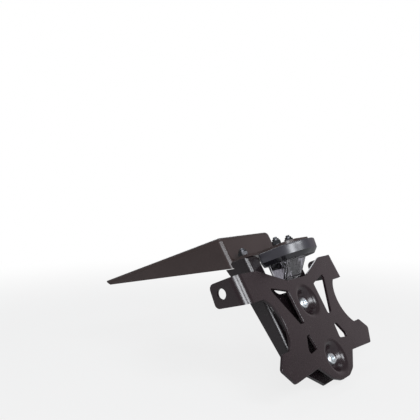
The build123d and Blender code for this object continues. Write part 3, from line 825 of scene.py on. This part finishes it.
# Outlines of the housing: front, width, length, corner radius, and rear corner radius if it differs
roof_inner = (16.0, 32.0, 32.0, 2.0, 14.0)
band = (21.0, 44.0, 42.0, 4.0, 20.0)
lip = (20.5, 40.0, 37.0, 4.0, 16.0)
lip_inner = (20.3, 39.4, 36.4, 3.8, 15.8)
mouth = (18.2, 37.4, 24.4, 4.5)
hollow = (19.5, 40.6, 27.4, 5.0)
ceiling_inner = (16.0, 32.0, 20.0, 2.0)
roof_round = 1.4
housing_plans = [(0.0, *roof_inner), *rounded(0.0, band, roof_round, 1)]
housing_plans += [(band_middle, *band), (band_foot, *band)]
for share in (0.33, 0.67, 0.94):
    housing_plans.append(between((band_foot, *band), (lip_foot, *lip), share))
housing_plans += [(lip_foot, *lip_inner), (lip_foot, *mouth), (ledge_top, *mouth)]
housing_plans += [(ledge_top, *hollow), (roof_under, *hollow), (roof_under, *ceiling_inner)]
housing_loops = [plan(*sizes) for sizes in housing_plans]
drill_past = 1.0
drill_end = -roof_under - drill_past
screw_hole_radius = 2.25
cable_hole_radius = 2.5
cable_height = -4.85
cable_from = (0.0, band[0] + drill_past, cable_height)
cable_to = (0.0, hollow[0] - drill_past, cable_height)
housing_holes = [((x, y, drill_past), (x, y, drill_end), screw_hole_radius) for x, y in lamp_holes]
housing_holes.append((cable_from, cable_to, cable_hole_radius))
housing = skinned(
    "lamp_housing", housing_loops, lamp_frame, lamp_gloss,
    smooth=25.0, holes=housing_holes,
)
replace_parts(housing, "lamp_base")

# Outlines and drops of the lens, which hangs by a flange
flange = (19.3, 40.2, 27.0, 5.0)
flange_soft = 0.2
flange_inner = inset(flange, flange_soft)
flange_top = 7.2
flange_foot = 8.7
lens_top = (18.0, 37.0, 24.0, 4.5)
lens_bottom = (18.0, 28.0, 11.4, 3.0)
lens_foot = 28.4
lens_wall = 1.8
lens_round = 1.2
flute_depth = 0.05
floor_drop = lens_foot - lens_wall
floor_middle = (13.2, 16.0, 3.0, 0.6)
outer_from = (flange_foot, *lens_top)
outer_to = (lens_foot, *lens_bottom)
inner_from = (floor_drop, *inset(lens_bottom, lens_wall))
inner_to = (flange_foot, *inset(lens_top, lens_wall))
lens_loops = [plan(floor_drop, *floor_middle)]
for share in (0.0, 0.03):
    lens_loops.append(plan(*between(inner_from, inner_to, share)))
for tenth in range(1, 10):
    lens_loops.append(plan(*between(inner_from, inner_to, tenth / 10), flute=flute_depth))
lens_loops += [plan(*inner_to), plan(flange_top, *inset(lens_top, lens_wall))]
lens_loops += [plan(flange_top, *flange_inner), plan(flange_top + flange_soft, *flange)]
lens_loops += [plan(flange_foot - flange_soft, *flange), plan(flange_foot, *flange_inner)]
lens_loops += [plan(*between(outer_from, outer_to, tenth / 10)) for tenth in range(10)]
lens_loops += [plan(*sizes) for sizes in reversed(rounded(lens_foot, lens_bottom, lens_round, -1))]
lens = skinned("lens_moulding", lens_loops, lamp_frame, lamp_clear)
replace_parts(lens, "lamp_lens")

# Drops and widths of the dark sheet inside the lens's front wall, painted shade that darkens the view
# through the lens
painted_shade_front = 16.05
painted_shade_thick = 0.6
painted_shade_corner = 0.2
painted_shade_rows = [(5.6, 32.0), (10.0, 32.0), (15.6, 29.2), (16.6, 27.2)]
painted_shade_loops = []
for drop, width in painted_shade_rows:
    painted_shade_loops.append(plan(drop, painted_shade_front, width, painted_shade_thick, painted_shade_corner))
skinned("painted_shade_sheet", painted_shade_loops, lamp_frame, lamp_shade_black)


def bulb_shape():
    """A capless bulb's glass, with a small pip at its end."""
    make = Shaper("bulb_shape")
    wide = make.size("Radius")
    tall = make.size("Length")
    profile = [(0.0, tall), (wide * 0.10, tall * 0.995), (wide * 0.16, tall * 0.965)]
    profile += [(wide * 0.45, tall * 0.935), (wide * 0.75, tall * 0.86), (wide * 0.93, tall * 0.74)]
    profile += [(wide, tall * 0.60), (wide * 0.97, tall * 0.44), (wide * 0.84, tall * 0.28)]
    profile += [(wide * 0.66, tall * 0.16), (wide * 0.60, 0.0), (0.0, 0.0)]
    return make.finished([make.turned(profile, 40)])


def holder_shape():
    """A bulb holder: a stepped cup with a rounded rim."""
    make = Shaper("holder_shape")
    wide = make.size("Radius")
    tall = make.size("Height")
    profile = [(0.0, tall * 0.55), (wide * 0.55, tall * 0.55), (wide * 0.58, tall * 0.95)]
    profile += [(wide * 0.62, tall), (wide * 0.74, tall), (wide * 0.78, tall * 0.94)]
    profile += [(wide * 0.78, tall * 0.5), (wide * 0.96, tall * 0.5), (wide, tall * 0.42)]
    profile += [(wide, 0.0), (0.0, 0.0)]
    return make.finished([make.turned(profile, 48)])


def filament_shape():
    """A coiled filament."""
    make = Shaper("filament_shape")
    wire = make.size("Wire radius")
    coil = make.size("Coil radius")
    tall = make.size("Length")
    ends = {"Start Radius": coil, "End Radius": coil, "Height": tall}
    path = make.node("GeometryNodeCurveSpiral", sockets={"Resolution": 24, "Rotations": 9.0, **ends})
    thick = make.node("GeometryNodeCurvePrimitiveCircle", sockets={"Resolution": 6, "Radius": wire})
    sockets = {"Curve": path, "Profile Curve": thick, "Fill Caps": True}
    return make.finished([make.node("GeometryNodeCurveToMesh", sockets=sockets)])


def grommet_shape():
    """A cable grommet: a rounded lip, a neck and a bell at its mouth."""
    make = Shaper("grommet_shape")
    neck = make.size("Neck radius")
    lip_wide = make.size("Lip radius")
    bore = make.size("Bore radius")
    out = make.size("Lip height")
    back = make.size("Neck length")
    profile = [(bore, back * -1.0), (bore, out * 0.5), (bore * 1.12, out * 0.9), (bore * 1.35, out)]
    profile += [(lip_wide * 0.80, out), (lip_wide * 0.93, out * 0.88), (lip_wide, out * 0.55)]
    profile += [(lip_wide, out * 0.12), (lip_wide * 0.97, 0.0)]
    profile += [(neck, 0.0), (neck, back * -1.0), (bore, back * -1.0)]
    return make.finished([make.turned(profile, 40)])


bulb_y = 9.0
bulb_foot = -7.3
holder_foot = -5.5
filament_height = -13.0
filament_length = 4.4
lead_places = [(-filament_length / 2, bulb_y), (filament_length / 2, bulb_y)]
bulb = hardware(
    "bulb_envelope", bulb_shape(), standing(lamp_frame, [(0.0, bulb_y)], bulb_foot, -1),
    bulb_glass, {"Radius": 4.3, "Length": 9.7},
)
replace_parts(bulb, "lamp_bulb")
holder = hardware(
    "bulb_cup", holder_shape(), standing(lamp_frame, [(0.0, bulb_y)], holder_foot, -1),
    holder_plastic, {"Radius": 6.5, "Height": 2.5},
)
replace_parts(holder, "lamp_bulb_holder")
filament_start = spots(lamp_frame, [(*lead_places[0], filament_height)])
hardware(
    "bulb_filament", filament_shape(), (filament_start, (1.0, 0.0, 0.0)),
    tungsten, {"Wire radius": 0.10, "Coil radius": 0.38, "Length": filament_length},
)
hardware(
    "bulb_leads", ring_maker, standing(lamp_frame, lead_places, filament_height, 1),
    tungsten, ring_sizes(0.22, 0.02, 6.2, 0.05),
)
cable_exit = spots(lamp_frame, [(0.0, band[0], cable_height)])
cable_way = tuple(lamp_frame.to_3x3() @ Vector((0, 1, 0)))
grommet = hardware(
    "lamp_cable_grommet", grommet_shape(), (cable_exit, cable_way), black_rubber,
    {"Neck radius": 2.4, "Lip radius": 3.3, "Bore radius": 1.4, "Lip height": 1.2, "Neck length": 1.5},
)
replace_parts(grommet, "lamp_grommet")

# Stage: a white floor that keeps the shadow, under a white world that lights less than it shows
floor_gap = 0.004
floor_reach = 8.0
glow_starts = 0.25
glow_full = 0.90
pale_grey = colour(0.42, 0.42, 0.42)
pure_white = colour(1, 1, 1)
floor_level = cad_box[0].z - floor_gap
floor_corners = [(-1, -1), (1, -1), (1, 1), (-1, 1)]
floor_points = [(x * floor_reach, y * floor_reach, floor_level) for x, y in floor_corners]
floor_mesh = bpy.data.meshes.new("floor")
floor_mesh.from_pydata(floor_points, [], [(0, 1, 2, 3)])
floor = bpy.data.objects.new("floor", floor_mesh)
scene.collection.objects.link(floor)
floor_white = Finish("floor_white")
ray = floor_white.add("ShaderNodeLightPath")
seen = Wire(floor_white, ray.outputs["Is Camera Ray"])
mirrored = Wire(floor_white, ray.outputs["Is Glossy Ray"])
through = Wire(floor_white, ray.outputs["Is Transmission Ray"])
matt = floor_white.node("ShaderNodeBsdfDiffuse", sockets={"Color": pale_grey})
glow = floor_white.node("ShaderNodeEmission", sockets={"Color": pure_white, "Strength": 1.0})
sockets = {0: floor_white.place()}
away = floor_white.node("ShaderNodeVectorMath", {"operation": "LENGTH"}, sockets, take="Value")
far = floor_white.step(away, glow_starts, glow_full)
glowing = seen * (0.80 + far * 0.20) + mirrored * 0.10 + through * 0.40
floor_white.close(floor_white.node("ShaderNodeMixShader", sockets={0: glowing, 1: matt, 2: glow}))
floor_mesh.materials.append(floor_white.material)

world = bpy.data.worlds.new("studio")
scene.world = world
world.use_nodes = True
sky = Tree(world.node_tree)
sky.tree.nodes.clear()
ray = sky.add("ShaderNodeLightPath")
seen = Wire(sky, ray.outputs["Is Camera Ray"])
through = Wire(sky, ray.outputs["Is Transmission Ray"])
strength = 0.22 + seen * 0.78 + through * 0.50
white = sky.node("ShaderNodeBackground", sockets={"Color": pure_white, "Strength": strength})
sky.add("ShaderNodeOutputWorld", sockets={"Surface": white})

light_aim = Vector((0.0, -0.09, -0.03))
cool_white = (0.93, 0.96, 1.0)
rose_white = (1.0, 0.84, 0.90)


def softbox(name, place, wide, tall, power, tint=cool_white):
    """A level rectangular area light aimed at the object, in metres and watts."""
    light = bpy.data.lights.new(name, "AREA")
    light.shape = "RECTANGLE"
    light.size = wide
    light.size_y = tall
    light.energy = power
    light.color = tint
    lamp = bpy.data.objects.new(name, light)
    lamp.location = place
    lamp.rotation_euler = (light_aim - Vector(place)).to_track_quat("-Z", "Y").to_euler()
    scene.collection.objects.link(lamp)


softbox("key", (-1.08, -0.89, 0.48), wide=0.58, tall=0.80, power=17.5)
softbox("second", (-0.28, -1.21, 0.85), wide=0.56, tall=0.42, power=9.0)
softbox("fill", (1.395, -0.475, 0.37), wide=0.90, tall=0.90, power=0.75, tint=rose_white)
softbox("front", (0.90, 0.90, 0.50), wide=0.60, tall=0.60, power=3.0)
softbox("top", (0.10, 0.30, 1.30), wide=0.80, tall=0.80, power=4.0)

# Camera, at the photograph's place
sensor = 36.0
photo_pixels = 420.0
focal_pixels = 540.0
camera_data = bpy.data.cameras.new("camera")
camera_data.sensor_width = sensor
camera_data.lens = sensor * focal_pixels / photo_pixels
camera = bpy.data.objects.new("camera", camera_data)
eye = Vector((-404.8, -351.96, 60.02)) * MM
look = Vector((0.780, 0.625, -0.029)).normalized()
side = Vector((0.625, -0.781, -0.019))
side = (side - look * side.dot(look)).normalized()
above = side.cross(look)
camera.matrix_world = Matrix((
    (side.x, above.x, -look.x, eye.x),
    (side.y, above.y, -look.y, eye.y),
    (side.z, above.z, -look.z, eye.z),
    (0, 0, 0, 1),
))
scene.collection.objects.link(camera)
scene.camera = camera
scene.view_settings.view_transform = "Standard"
